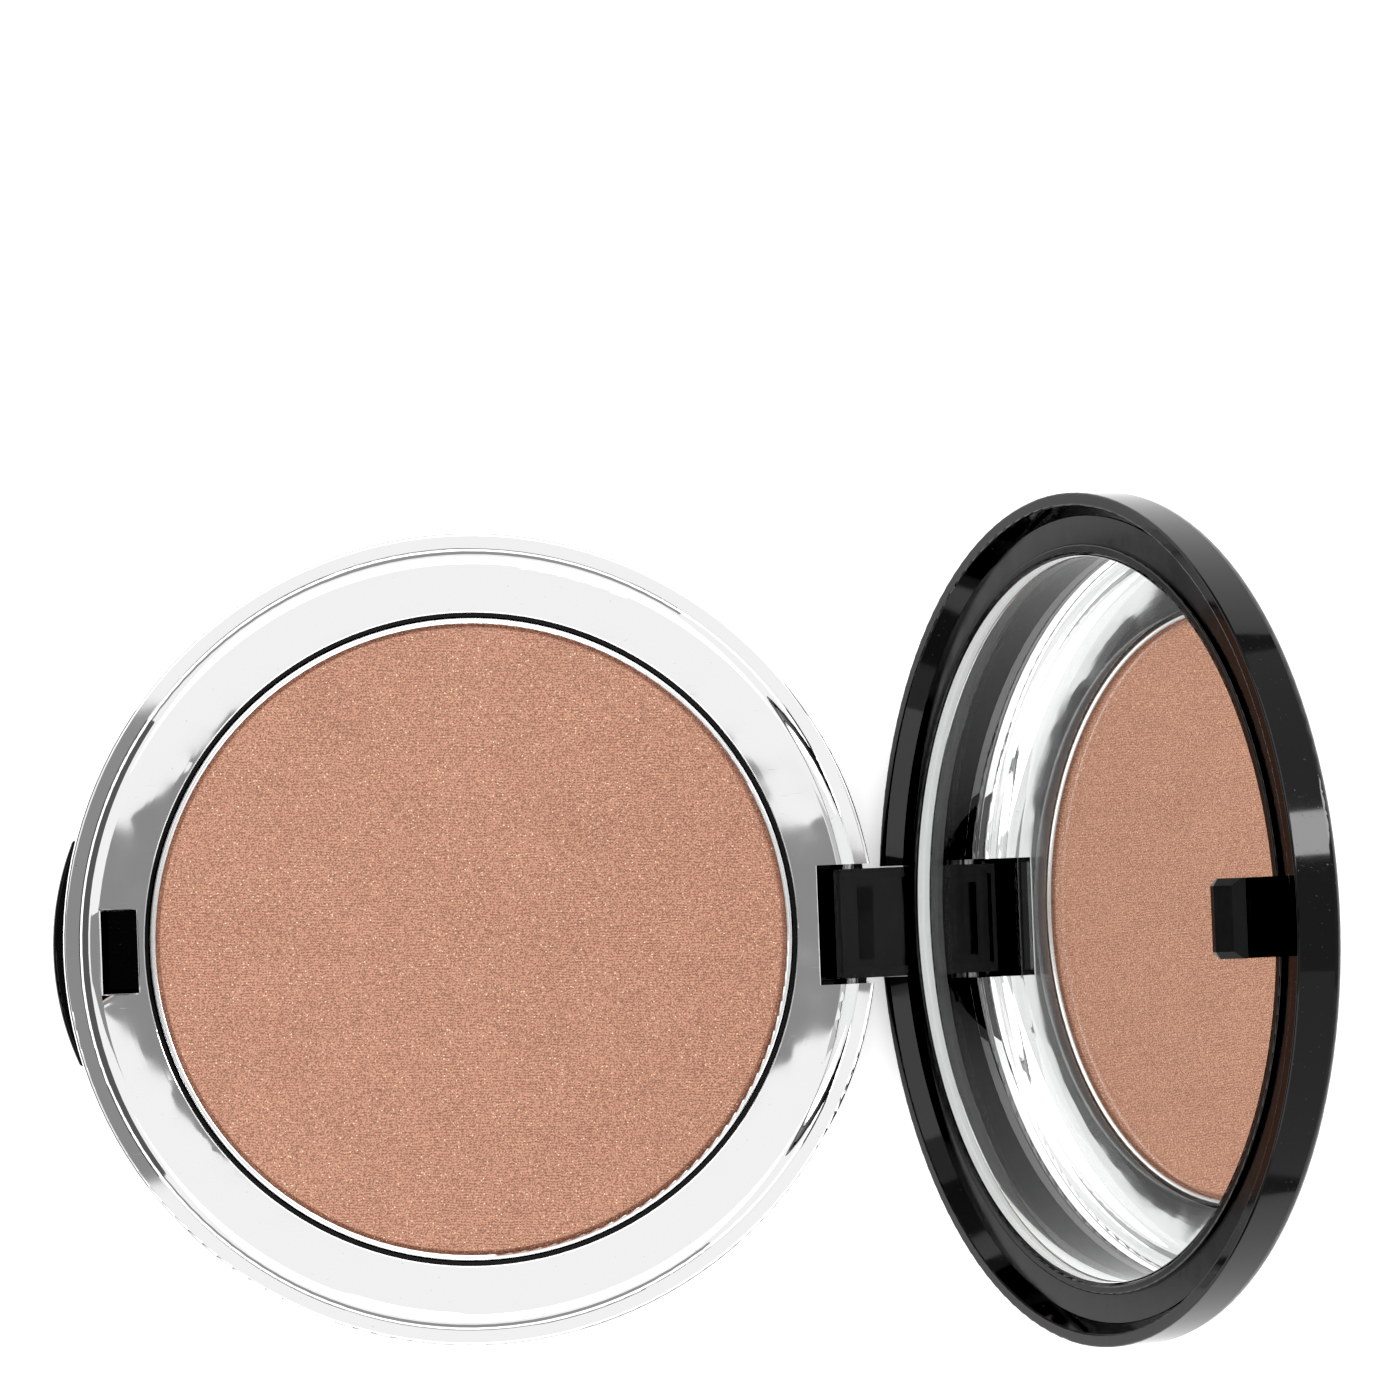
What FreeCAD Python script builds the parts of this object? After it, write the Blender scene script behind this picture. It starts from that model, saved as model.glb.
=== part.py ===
import FreeCAD, Part
import os
import re

import Sketcher

# A round powder compact, lying open on a table.
#
# Frame: origin at the centre of the base's underside, +Z up. The hinge is at +X with its axis along Y,
# the push button is at -X. The lid's pieces are drawn closed over the base, then turned about the hinge
# pin to the open position. Lengths are in millimetres.

PARTS = "parts"

# Driving dimensions: alias, value, meaning.
DIMENSIONS = [
    # Base shell
    ("base_radius", 37.6, "outer radius of base, bezel band and lid"),
    ("wall", 1.3, "side wall thickness of the base shell"),
    ("wall_top", 8.2, "top of the base shell's side wall"),
    ("floor_top", 1.8, "inner floor level"),
    ("foot_inner", 29.0, "inner radius of the foot ring"),
    ("foot_recess", 0.1, "depth of the label's recess inside the foot ring"),
    ("bottom_round", 1.1, "rounding of the base's lower edge"),
    ("seam_round", 0.12, "rounding of the edges that meet at the bezel's seam"),
    ("support_radius", 25.2, "outer radius of the ring rib that carries the tray"),
    ("support_wall", 1.2, "thickness of that rib"),
    ("post_radius", 3.0, "radius of the centre post under the tray"),
    ("rib_width", 0.9, "thickness of the radial ribs"),
    ("rib_count", 12, "number of radial ribs"),
    # Bezel
    ("ledge_z", 9.5, "level of the bezel's outer ledge"),
    ("band_round", 0.35, "rounding of the bezel band's upper edge"),
    ("shoulder_foot", 36.15, "radius where the shoulder rises from the ledge"),
    ("shoulder_z", 9.62, "height where the shoulder's roll ends"),
    ("crown_ridge", 34.4, "radius of the crown's ridge, where the shoulder starts to roll over"),
    ("crown_z", 10.57, "height of the crown at its ridge"),
    ("crown_curve", 195.0, "radius of the crown's slight arch"),
    ("crown_inner", 30.1, "inner radius of the crown"),
    ("crown_inner_z", 10.42, "height of the crown at its inner edge"),
    ("bezel_under", 9.25, "level of the bezel's underside"),
    ("skirt_outer", 36.2, "outer radius of the bezel's locating skirt"),
    ("skirt_inner", 35.2, "inner radius of that skirt"),
    ("skirt_bottom", 6.95, "lower edge of that skirt"),
    ("edge_break", 0.12, "size of the rounding or chamfer on the bezel's cut edges"),
    # Catch window
    ("window_outer", 34.05, "distance of the catch window's outer edge from the axis"),
    ("window_inner", 30.75, "distance of its inner edge"),
    ("window_width", 7.6, "width of the catch window"),
    # Pan, tray and powder
    ("tray_outer", 30.5, "outer radius of the pan tray"),
    ("tray_wall", 0.7, "wall thickness of the tray"),
    ("tray_bottom", 4.5, "underside of the tray"),
    ("tray_floor", 5.6, "inner floor of the tray"),
    ("pad_thick", 0.2, "thickness of the glue pad under the pan"),
    ("pad_radius", 24.0, "radius of that pad"),
    ("pan_radius", 29.65, "outer radius of the pan"),
    ("pan_wall", 0.6, "thickness of the pan's rolled wall"),
    ("pan_floor", 0.5, "thickness of the pan's floor"),
    ("pan_rim_z", 10.35, "height of the pan's rim"),
    ("pan_round", 0.24, "rounding of the pan's rim"),
    ("powder_radius", 28.75, "radius of the powder's face"),
    ("powder_z", 10.5, "height of the powder's face"),
    ("powder_step", 0.7, "depth of the gap between powder and rim"),
    ("powder_round", 0.18, "rounding of the powder's edge"),
    # Label
    ("label_radius", 28.8, "radius of the label under the base"),
    ("label_thick", 0.1, "thickness of the label"),
    # Hinge
    ("hinge_x", 35.3, "hinge axis, distance from the compact's axis"),
    ("hinge_z", 5.3, "hinge axis, height above the table"),
    ("open_angle", 111.0, "angle of the open lid from closed, in degrees"),
    ("notch_inner", 32.1, "inner edge of the hinge notch"),
    ("notch_width", 11.1, "width of the hinge notch"),
    ("notch_floor", 2.2, "level of the lip under the notch, the lid's stop"),
    ("cheek_width", 2.6, "thickness of the cheeks beside the notch"),
    ("cheek_inner", 32.6, "inner end of the cheeks"),
    ("cheek_outer", 36.5, "outer end of the cheeks"),
    ("cheek_top", 8.1, "top of the cheeks"),
    ("relief_depth", 0.25, "depth of the shallow panel round the notch"),
    ("relief_angle", 24.2, "angle that the panel spans, in degrees"),
    ("relief_bottom", 4.5, "lower edge of the panel"),
    ("pin_radius", 0.75, "radius of the hinge pin"),
    ("pin_length", 15.2, "length of the hinge pin"),
    ("pin_seat", 0.78, "radius of the pin's seat in the cheeks"),
    ("pin_bore", 0.80, "radius of the tongue's bore"),
    ("keeper_gap", 0.1, "gap between the bezel's keeper tabs and the pin"),
    ("keeper_width", 1.75, "width of a keeper tab"),
    ("tongue_width", 10.2, "width of the hinge tongue"),
    ("tongue_half", 2.2, "radius of the tongue's barrel"),
    ("tongue_outer", 37.2, "outer radius of the tongue's back"),
    ("tongue_top", 12.4, "top of the tongue inside the lid"),
    ("tongue_chamfer", 0.45, "chamfer on the tongue's inner corner"),
    ("panel_width", 8.3, "width of the panel sunk in the tongue"),
    ("panel_depth", 0.35, "depth of that panel"),
    ("wedge_width", 6.8, "width of the sloped pocket in the panel"),
    ("wedge_low", 5.45, "lower edge of the sloped pocket"),
    ("wedge_high", 7.45, "upper edge of the sloped pocket"),
    ("wedge_depth", 0.5, "depth of the sloped pocket"),
    # Lid
    ("rim_z", 9.8, "level of the lid's rim when closed"),
    ("lid_thick", 4.5, "height of the lid at its edge"),
    ("lid_dome", 0.35, "rise of the lid's outer face at its centre"),
    ("dome_flat", 2.0, "radius of the level middle of that face"),
    ("lid_round", 1.0, "rounding of the lid's outer edge"),
    ("rim_inner", 36.5, "inner radius of the rim's face"),
    ("rim_round", 0.18, "rounding of the rim's edges"),
    ("cover_bore", 35.6, "inner radius of the lid shell behind the rim"),
    ("ceiling_z", 13.6, "inner ceiling of the lid shell"),
    ("frame_gap", 0.05, "gap between the lid frame and the lid shell"),
    ("frame_face", 11.3, "level of the ring around the mirror"),
    ("frame_floor", 13.1, "level of the frame's floor behind the mirror"),
    ("lip_z", 10.85, "front of the lip around the mirror"),
    ("lip_inner", 32.25, "inner radius of that lip"),
    ("lip_outer", 33.05, "outer radius of that lip"),
    ("mirror_radius", 32.15, "radius of the mirror"),
    ("mirror_front", 11.05, "level of the mirror's front face when closed"),
    ("mirror_thick", 1.7, "thickness of the glass"),
    ("mirror_bevel", 0.15, "arris on the mirror's edges"),
    ("backing_thick", 0.1, "thickness of the mirror's silver and paint coat"),
    ("backing_radius", 32.0, "radius of that coat"),
    ("tape_radius", 27.0, "radius of the mirror's adhesive pad"),
    # Latch hook
    ("hook_width", 6.65, "width of the latch hook"),
    ("hook_inner", 32.3, "inner face of the hook's stem"),
    ("hook_outer", 33.3, "outer face of the stem"),
    ("tooth_outer", 33.8, "outer face of the hook's tooth"),
    ("hook_reach", 5.05, "how far the hook stands out of the rim's plane"),
    ("tooth_bevel", 1.15, "height of the lead-in bevel at the tip"),
    ("tooth_height", 2.5, "height of the tooth with its bevel"),
    ("tooth_slope", 0.5, "height of the tooth's catching slope"),
    ("hook_corner", 0.6, "chamfer at the tip's corners"),
    # Push button
    ("button_low", 2.4, "underside of the button"),
    ("button_high", 6.7, "top of the button"),
    ("button_width", 20.8, "width of the button's face"),
    ("button_proud", 1.05, "how far the button stands out at its middle"),
    ("button_curve", 26.5, "radius of the button's face"),
    ("button_round", 0.35, "rounding of the face's edges"),
    ("flange_width", 23.4, "width of the flange that holds the button in"),
    ("flange_outer", 36.12, "outer radius of the flange"),
    ("flange_inner", 35.1, "inner radius of the flange"),
    ("slot_gap", 0.2, "gap round the button in its slot"),
    # Button springs
    ("spring_thick", 0.2, "thickness of the leaf springs"),
    ("spring_curve", 3.1, "radius of the springs' bow"),
    ("spring_rise", 2.1, "height of the bow"),
    ("spring_y", 7.6, "distance of each spring from the middle plane"),
    ("spring_low", 3.2, "lower edge of the springs"),
    ("spring_height", 2.6, "width of the spring strip"),
    ("spring_face", 34.15, "distance of the bow's crest from the axis"),
    ("anchor_size", 1.2, "side of the posts that the springs rest on"),
    ("anchor_top", 6.2, "top of those posts"),
    # Drawing aids
    ("beyond", 45.0, "a distance that clears the whole compact"),
]

doc = FreeCAD.newDocument("powder_compact")
sheet = doc.addObject("Spreadsheet::Sheet", "dims")
workings = doc.addObject("Spreadsheet::Sheet", "workings")
PLACES = {"XY": "XY_Plane", "XZ": "XZ_Plane", "YZ": "YZ_Plane"}


def fill_sheet():
    """Write each driving dimension to the sheet, with its alias and meaning."""
    for row, (alias, amount, meaning) in enumerate(DIMENSIONS, start=1):
        sheet.set(f"A{row}", meaning)
        sheet.set(f"B{row}", str(amount))
        sheet.setAlias(f"B{row}", alias)
    sheet.recompute()


def value(formula):
    """The number that a formula over the sheet's aliases gives now."""
    workings.set("A1", "=" + bound(formula))
    workings.recompute()
    return float(workings.get("A1"))


def bound(formula):
    """The same formula written for use outside the sheet."""
    return re.sub(r"[a-z_]\w*", lambda word: "dims." + word.group(0), formula)


def bind(thing, **formulas):
    """Bind properties of a document object to formulas over the sheet."""
    for name, formula in formulas.items():
        thing.setExpression(name.replace("__", "."), bound(formula))


def new_body(label):
    body = doc.addObject("PartDesign::Body", label)
    body.Label = label
    return body


def new_sketch(body, name, plane="XY", level=None):
    """An empty sketch on one of the body's origin planes, lifted by a formula if level is given."""
    sketch = body.newObject("Sketcher::SketchObject", name)
    origin_plane = next(p for p in body.Origin.OriginFeatures if p.Role == PLACES[plane])
    sketch.AttachmentSupport = [(origin_plane, "")]
    sketch.MapMode = "FlatFace"
    if level is not None:
        sketch.setExpression("AttachmentOffset.Base.z", bound(level))
    return sketch


def pin_point(sketch, geometry, vertex, across, up):
    """Fix one vertex of a sketch at formulas for its two coordinates."""
    for kind, axis, formula in (("DistanceX", -2, across), ("DistanceY", -1, up)):
        amount = value(formula)
        if abs(amount) < 1e-9:
            sketch.addConstraint(Sketcher.Constraint("PointOnObject", geometry, vertex, axis))
            continue
        index = sketch.addConstraint(Sketcher.Constraint(kind, -1, 1, geometry, vertex, amount))
        sketch.setExpression(f"Constraints[{index}]", bound(formula))


def bowed(start, end, radius):
    """An arc of this radius from start to end, bowed to the left of that direction."""
    chord = end - start
    side = FreeCAD.Vector(-chord.y, chord.x, 0).normalize()
    rise = radius - (radius ** 2 - chord.Length ** 2 / 4) ** 0.5
    crest = start + chord * 0.5 + side * rise
    return Part.Arc(start, crest, end)


def outline(sketch, points, arcs=None):
    """A closed outline through points given as pairs of formulas.

    arcs gives the radius of each side that is an arc, by the number of the point that it starts from.
    """
    arcs = arcs or {}
    places = [FreeCAD.Vector(value(across), value(up), 0) for across, up in points]
    ends = places[1:] + places[:1]
    sides = []
    for number, (start, end) in enumerate(zip(places, ends)):
        if number in arcs:
            sides.append(sketch.addGeometry(bowed(start, end, value(arcs[number]))))
        else:
            sides.append(sketch.addGeometry(Part.LineSegment(start, end)))
    starts = [side_start(sketch, side, place) for side, place in zip(sides, places)]
    for side, start, following, following_start in zip(
            sides, starts, sides[1:] + sides[:1], starts[1:] + starts[:1]):
        joined = Sketcher.Constraint("Coincident", side, 3 - start, following, following_start)
        sketch.addConstraint(joined)
    for side, start, (across, up) in zip(sides, starts, points):
        pin_point(sketch, side, start, across, up)
    for number, radius in arcs.items():
        index = sketch.addConstraint(Sketcher.Constraint("Radius", sides[number], value(radius)))
        sketch.setExpression(f"Constraints[{index}]", bound(radius))
    return sketch


def side_start(sketch, side, place):
    """The sketch's vertex number, 1 or 2, of the end of this side that is at place."""
    return 1 if sketch.getPoint(side, 1).distanceToPoint(place) < 1e-6 else 2


def rectangle(sketch, left, right, low, high):
    """A closed rectangle between formulas for its sides."""
    return outline(sketch, [(left, low), (right, low), (right, high), (left, high)])


def circle(sketch, radius, across="0", up="0"):
    """A circle whose radius and centre are formulas."""
    centre = FreeCAD.Vector(value(across), value(up), 0)
    ring = sketch.addGeometry(Part.Circle(centre, FreeCAD.Vector(0, 0, 1), value(radius)))
    index = sketch.addConstraint(Sketcher.Constraint("Radius", ring, value(radius)))
    sketch.setExpression(f"Constraints[{index}]", bound(radius))
    pin_point(sketch, ring, 3, across, up)
    return sketch


def revolve(body, name, points, arcs=None):
    """Turn an outline in the XZ plane about the compact's axis."""
    sketch = outline(new_sketch(body, name + "_profile", "XZ"), points, arcs)
    feature = body.newObject("PartDesign::Revolution", name)
    feature.Profile = sketch
    feature.ReferenceAxis = (sketch, ["V_Axis"])
    feature.Angle = 360
    doc.recompute()
    return feature


def grow(body, name, sketch, length, symmetric=False, down=False):
    """Pad a sketch by a formula: both ways about its plane, or one way."""
    feature = body.newObject("PartDesign::Pad", name)
    feature.Profile = sketch
    feature.SideType = "Symmetric" if symmetric else "One side"
    feature.Reversed = down
    feature.setExpression("Length", bound(length))
    doc.recompute()
    return feature


def carve(body, name, sketch, length, symmetric=False, up=False):
    """Pocket a sketch by a formula, and make sure that it cut something."""
    before = body.Shape.Volume
    feature = body.newObject("PartDesign::Pocket", name)
    feature.Profile = sketch
    feature.SideType = "Symmetric" if symmetric else "One side"
    feature.Reversed = up
    feature.setExpression("Length", bound(length))
    doc.recompute()
    if body.Shape.Volume > before - 1e-3:
        raise RuntimeError(f"{name} cuts nothing from {body.Label}")
    return feature


def round_edges(body, name, chosen, radius, kind="PartDesign::Fillet"):
    """Fillet or chamfer the edges of the body's last feature that the test picks."""
    last = body.Tip
    names = [f"Edge{i}" for i, edge in enumerate(last.Shape.Edges, start=1) if chosen(edge)]
    if not names:
        raise RuntimeError(f"{name} finds no edge on {body.Label}")
    feature = body.newObject(kind, name)
    feature.Base = (last, names)
    feature.setExpression("Radius" if kind.endswith("Fillet") else "Size", bound(radius))
    doc.recompute()
    if "Invalid" in feature.State or "Error" in feature.State:
        raise RuntimeError(f"{name} can't be made on {body.Label}")
    return feature


def is_ring(radius, level):
    """A test for full or partial circles about the Z axis with this radius and height."""
    wanted_radius, wanted_level = value(radius), value(level)

    def test(edge):
        curve = edge.Curve
        if not isinstance(curve, Part.Circle):
            return False
        centred = abs(curve.Center.x) < 1e-4 and abs(curve.Center.y) < 1e-4
        same_size = abs(curve.Radius - wanted_radius) < 1e-4
        return centred and same_size and abs(curve.Center.z - wanted_level) < 1e-4

    return test


def either(*tests):
    return lambda edge: any(test(edge) for test in tests)


def mid_point(edge):
    return edge.valueAt((edge.FirstParameter + edge.LastParameter) / 2)


# Base ---------------------------------------------------------------------------------------------------


def make_base_shell():
    body = new_body("base_shell")
    revolve(body, "tub", [
        ("0", "foot_recess"),
        ("foot_inner", "foot_recess"),
        ("foot_inner", "0"),
        ("base_radius", "0"),
        ("base_radius", "wall_top"),
        ("base_radius - wall", "wall_top"),
        ("base_radius - wall", "floor_top"),
        ("support_radius", "floor_top"),
        ("support_radius", "tray_bottom"),
        ("support_radius - support_wall", "tray_bottom"),
        ("support_radius - support_wall", "floor_top"),
        ("post_radius", "floor_top"),
        ("post_radius", "tray_bottom"),
        ("0", "tray_bottom"),
    ])
    round_edges(body, "lower_edge", is_ring("base_radius", "0"), "bottom_round")
    round_edges(body, "seam_edge", is_ring("base_radius", "wall_top"), "seam_round")
    add_ribs(body)
    add_cheeks(body)
    add_button_slot(body)
    add_spring_anchors(body)
    return body


def add_ribs(body):
    """Radial ribs between the tray's ring and the centre post."""
    sketch = rectangle(new_sketch(body, "rib_plan", level="floor_top"),
                       "post_radius - 0.5", "support_radius - support_wall / 2",
                       "-rib_width / 2", "rib_width / 2")
    rib = grow(body, "rib", sketch, "tray_bottom - floor_top")
    pattern = body.newObject("PartDesign::PolarPattern", "ribs")
    pattern.Originals = [rib]
    pattern.Axis = (sketch, ["N_Axis"])
    pattern.Angle = 360
    pattern.setExpression("Occurrences", bound("rib_count"))
    body.Tip = pattern
    doc.recompute()


def add_cheeks(body):
    """The hinge notch, the two cheeks beside it, the pin's open-topped seat and the panel outside."""
    notch = rectangle(new_sketch(body, "notch_plan", level="notch_floor"),
                      "cheek_inner", "beyond", "-notch_width / 2", "notch_width / 2")
    carve(body, "notch", notch, "beyond", up=True)
    for side, sign in (("left", "-"), ("right", "")):
        near, far = f"{sign}notch_width / 2", f"{sign}(notch_width / 2 + cheek_width)"
        low, high = (far, near) if sign else (near, far)
        plan = rectangle(new_sketch(body, f"cheek_plan_{side}", level="floor_top"),
                         "cheek_inner", "cheek_outer", low, high)
        grow(body, f"cheek_{side}", plan, "cheek_top - floor_top")
    seat = circle(new_sketch(body, "pin_seat_section", "XZ"), "pin_seat", "hinge_x", "hinge_z")
    carve(body, "pin_seat", seat, "pin_length + 0.2", symmetric=True)
    slot = rectangle(new_sketch(body, "pin_slot_section", "XZ"),
                     "hinge_x - pin_seat", "hinge_x + pin_seat", "hinge_z", "cheek_top + 1")
    carve(body, "pin_slot", slot, "pin_length + 0.2", symmetric=True)
    panel = rectangle(new_sketch(body, "relief_section", "XZ"),
                      "base_radius - relief_depth", "base_radius + 1", "relief_bottom", "wall_top + 1")
    before = body.Shape.Volume
    relief = body.newObject("PartDesign::Groove", "relief")
    relief.Profile = panel
    relief.ReferenceAxis = (panel, ["V_Axis"])
    relief.Midplane = True
    relief.setExpression("Angle", bound("relief_angle"))
    doc.recompute()
    if body.Shape.Volume > before - 1e-3:
        raise RuntimeError("the panel round the notch cuts nothing")


def add_button_slot(body):
    plan = rectangle(new_sketch(body, "slot_plan", level="button_low - slot_gap"),
                     "-beyond", "-(tray_outer + 2)",
                     "-(button_width / 2 + slot_gap)", "button_width / 2 + slot_gap")
    carve(body, "button_slot", plan, "button_high - button_low + 2 * slot_gap", up=True)


def add_spring_anchors(body):
    """Posts that the ends of the two leaf springs rest against."""
    back = "-(spring_face - spring_rise)"
    for side in (-1, 1):
        for end in (-1, 1):
            middle = f"{side} * spring_y + {end} * 2.6"
            plan = rectangle(new_sketch(body, "anchor_plan", level="floor_top"),
                             back, back + " + anchor_size",
                             middle + " - anchor_size / 2", middle + " + anchor_size / 2")
            grow(body, "anchor", plan, "anchor_top - floor_top")


def make_bezel():
    body = new_body("bezel")
    crown_width = "(crown_ridge - crown_inner)"
    roll_width, roll_drop = "(shoulder_foot - crown_ridge)", "(crown_z - shoulder_z)"
    ridge_slope = f"((crown_z - crown_inner_z) / {crown_width} - {crown_width} / (2 * crown_curve))"
    roll_curve = f"({roll_width}^2 + {roll_drop}^2) / (2 * ({ridge_slope} * {roll_width} + {roll_drop}))"
    revolve(body, "ring", [
        ("crown_inner", "bezel_under"),
        ("crown_inner", "crown_inner_z"),
        ("crown_ridge", "crown_z"),
        ("shoulder_foot", "shoulder_z"),
        ("shoulder_foot", "ledge_z"),
        ("base_radius", "ledge_z"),
        ("base_radius", "wall_top"),
        ("skirt_outer", "wall_top"),
        ("skirt_outer", "skirt_bottom"),
        ("skirt_inner", "skirt_bottom"),
        ("skirt_inner", "bezel_under"),
    ], arcs={1: "crown_curve", 2: roll_curve})
    round_edges(body, "band_edge", is_ring("base_radius", "ledge_z"), "band_round")
    seams = either(is_ring("base_radius", "wall_top"), is_ring("crown_inner", "crown_inner_z"))
    round_edges(body, "seam_edges", seams, "seam_round")
    window = rectangle(new_sketch(body, "window_plan"),
                       "-window_outer", "-window_inner", "-window_width / 2", "window_width / 2")
    carve(body, "window", window, "beyond", symmetric=True)
    round_edges(body, "window_edges", is_window_edge, "edge_break", "PartDesign::Chamfer")
    notch = rectangle(new_sketch(body, "notch_plan"),
                      "notch_inner", "beyond", "-notch_width / 2", "notch_width / 2")
    carve(body, "notch", notch, "beyond", symmetric=True)
    round_edges(body, "notch_edge", is_notch_end, "edge_break")
    plan = new_sketch(body, "cheek_room_plan", level="wall_top")
    side = "notch_width / 2 + cheek_width + 0.3"
    rectangle(plan, "cheek_inner - 1", "beyond", f"-({side})", side)
    carve(body, "cheek_room", plan, "beyond")
    add_keepers(body)
    return body


def is_window_edge(edge):
    """The edges where the catch window meets the crown."""
    middle = mid_point(edge)
    far, near, half = value("window_outer"), value("window_inner"), value("window_width / 2")
    on_side = abs(abs(middle.y) - half) < 0.02 and near < -middle.x < far
    on_end = min(abs(middle.x + far), abs(middle.x + near)) < 0.02 and abs(middle.y) < half
    return middle.z > value("crown_inner_z") - 0.05 and (on_side or on_end)


def is_notch_end(edge):
    """The edge where the inner end of the hinge notch meets the crown."""
    middle = mid_point(edge)
    at_end = abs(middle.x - value("notch_inner")) < 0.02
    at_top = middle.z > value("crown_inner_z") - 0.05
    return at_end and at_top and abs(middle.y) < value("notch_width / 2") - 0.1


def add_keepers(body):
    """Tabs under the bezel that close the pin's open-topped seats."""
    for side, sign in (("left", "-"), ("right", "")):
        near = f"{sign}(notch_width / 2 + keeper_gap * 2)"
        far = f"{sign}(notch_width / 2 + keeper_gap * 2 + keeper_width)"
        low, high = (far, near) if sign else (near, far)
        plan = new_sketch(body, f"keeper_plan_{side}", level="hinge_z + pin_radius + keeper_gap")
        rectangle(plan, "hinge_x - pin_radius + 0.05", "hinge_x + pin_radius - 0.05", low, high)
        grow(body, f"keeper_{side}", plan, "bezel_under + 0.1 - hinge_z - pin_radius - keeper_gap")


def make_pan_tray():
    body = new_body("pan_tray")
    revolve(body, "cup", [
        ("0", "tray_bottom"),
        ("tray_outer", "tray_bottom"),
        ("tray_outer", "bezel_under"),
        ("tray_outer - tray_wall", "bezel_under"),
        ("tray_outer - tray_wall", "tray_floor"),
        ("0", "tray_floor"),
    ])
    return body


def make_pan():
    body = new_body("powder_pan")
    revolve(body, "pan", [
        ("0", "tray_floor + pad_thick"),
        ("pan_radius", "tray_floor + pad_thick"),
        ("pan_radius", "pan_rim_z"),
        ("pan_radius - pan_wall", "pan_rim_z"),
        ("pan_radius - pan_wall", "tray_floor + pad_thick + pan_floor"),
        ("0", "tray_floor + pad_thick + pan_floor"),
    ])
    rim = either(is_ring("pan_radius", "pan_rim_z"), is_ring("pan_radius - pan_wall", "pan_rim_z"))
    round_edges(body, "rim_roll", rim, "pan_round")
    round_edges(body, "heel", is_ring("pan_radius", "tray_floor + pad_thick"), "2 * pan_round")
    return body


def make_powder():
    body = new_body("powder_cake")
    revolve(body, "cake", [
        ("0", "tray_floor + pad_thick + pan_floor"),
        ("pan_radius - pan_wall", "tray_floor + pad_thick + pan_floor"),
        ("pan_radius - pan_wall", "powder_z - powder_step"),
        ("powder_radius", "powder_z - powder_step"),
        ("powder_radius", "powder_z"),
        ("0", "powder_z"),
    ])
    round_edges(body, "cake_edge", is_ring("powder_radius", "powder_z"), "powder_round")
    return body


def make_layer(label, radius, low, thick):
    """A plain round layer: its radius, underside and thickness are formulas."""
    body = new_body(label)
    top = f"{low} + {thick}"
    revolve(body, "layer", [("0", low), (radius, low), (radius, top), ("0", top)])
    return body


def make_hinge_pin():
    body = new_body("hinge_pin")
    section = circle(new_sketch(body, "pin_section", "XZ"), "pin_radius", "hinge_x", "hinge_z")
    grow(body, "rod", section, "pin_length", symmetric=True)
    round_edges(body, "pin_ends", lambda edge: isinstance(edge.Curve, Part.Circle), "pin_radius / 4",
                "PartDesign::Chamfer")
    return body


# Button -------------------------------------------------------------------------------------------------


def trim_outside(body, name, radius, across, level):
    """Cut away everything outside an upright cylinder, from a level upwards."""
    sketch = new_sketch(body, name + "_plan", level=level)
    circle(sketch, radius, across)
    rectangle(sketch, "-2 * beyond", "2 * beyond", "-2 * beyond", "2 * beyond")
    return carve(body, name, sketch, "beyond", up=True)


def make_button():
    body = new_body("push_button")
    flange = rectangle(new_sketch(body, "flange_plan", level="button_low"),
                       "-beyond", "-(tray_outer + 1)", "-flange_width / 2", "flange_width / 2")
    grow(body, "flange", flange, "button_high - button_low - slot_gap")
    trim_outside(body, "flange_trim", "flange_outer", "0", "button_low - 1")
    face = rectangle(new_sketch(body, "face_plan", level="button_low"),
                     "-beyond", "-(tray_outer + 2)", "-button_width / 2", "button_width / 2")
    grow(body, "face", face, "button_high - button_low")
    trim_outside(body, "face_trim", "button_curve", "button_curve - base_radius - button_proud",
                 "button_low - 1")
    hollow = circle(new_sketch(body, "hollow_plan", level="button_low - 1"), "flange_inner")
    carve(body, "hollow", hollow, "beyond", up=True)
    round_edges(body, "face_edges", is_button_edge, "button_round")
    return body


def is_button_edge(edge):
    """The four edges of the button's curved outer face."""
    middle = mid_point(edge)
    half = value("button_width / 2")
    centre = value("button_curve - base_radius - button_proud")
    from_centre = ((middle.x - centre) ** 2 + middle.y ** 2) ** 0.5
    on_face = abs(from_centre - value("button_curve")) < 0.01
    return on_face and middle.x < centre and abs(middle.y) < half + 0.01


def make_springs():
    """Two bowed leaf springs, one each side of the latch hook."""
    strips = []
    for name, side in (("left", -1), ("right", 1)):
        outer = doc.addObject("Part::Cylinder", f"bow_outer_{name}")
        inner = doc.addObject("Part::Cylinder", f"bow_inner_{name}")
        window = doc.addObject("Part::Box", f"bow_window_{name}")
        centre = "-(spring_face - spring_curve)"
        for bow, radius in ((outer, "spring_curve"), (inner, "spring_curve - spring_thick")):
            bind(bow, Radius=radius, Height="spring_height", Placement__Base__x=centre,
                 Placement__Base__y=f"{side} * spring_y", Placement__Base__z="spring_low")
        bind(window, Length="spring_rise", Width="2 * spring_curve", Height="spring_height",
             Placement__Base__x="-spring_face", Placement__Base__y=f"{side} * spring_y - spring_curve",
             Placement__Base__z="spring_low")
        shell = doc.addObject("Part::Cut", f"bow_shell_{name}")
        shell.Base, shell.Tool = outer, inner
        strip = doc.addObject("Part::Common", f"bow_{name}")
        strip.Base, strip.Tool = shell, window
        strips.append(strip)
    doc.recompute()
    both = doc.addObject("Part::Compound", "button_springs")
    both.Label = "button_springs"
    both.Links = strips
    doc.recompute()
    return both


# Lid, drawn closed --------------------------------------------------------------------------------------


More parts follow.
